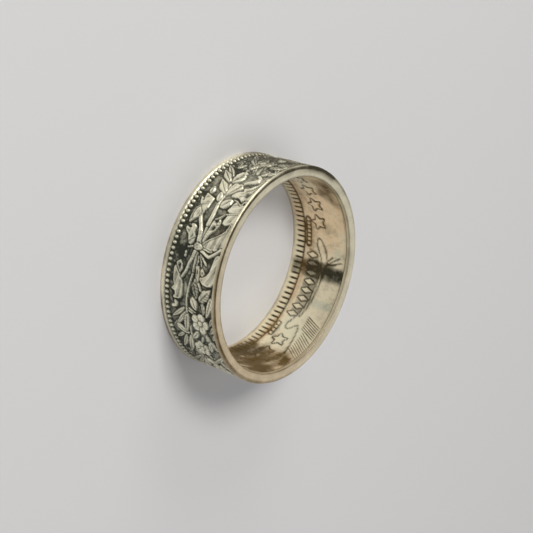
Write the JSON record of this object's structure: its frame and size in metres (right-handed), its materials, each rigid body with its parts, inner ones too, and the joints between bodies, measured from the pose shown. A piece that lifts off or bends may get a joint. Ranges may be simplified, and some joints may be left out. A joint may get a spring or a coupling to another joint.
{
  "type": "coin ring",
  "caption": "Flared silver finger ring: wreath with a ribbon bow and a beaded rim in relief outside, teeth and small stars inside.",
  "frame": {"origin": "centre of the beaded end, on the plane that it rests on", "axes": "+Z along the ring's axis, from the beaded end to the smooth end; the bow of the wreath faces -Y"},
  "size_m": [0.021, 0.021, 0.0065],
  "materials": {
    "oxidised_silver": "worn satin silver, dark oxidised in the recesses"
  },
  "bodies": {
    "root": {"coin_band": "oxidised_silver"}
  },
  "joints": []
}
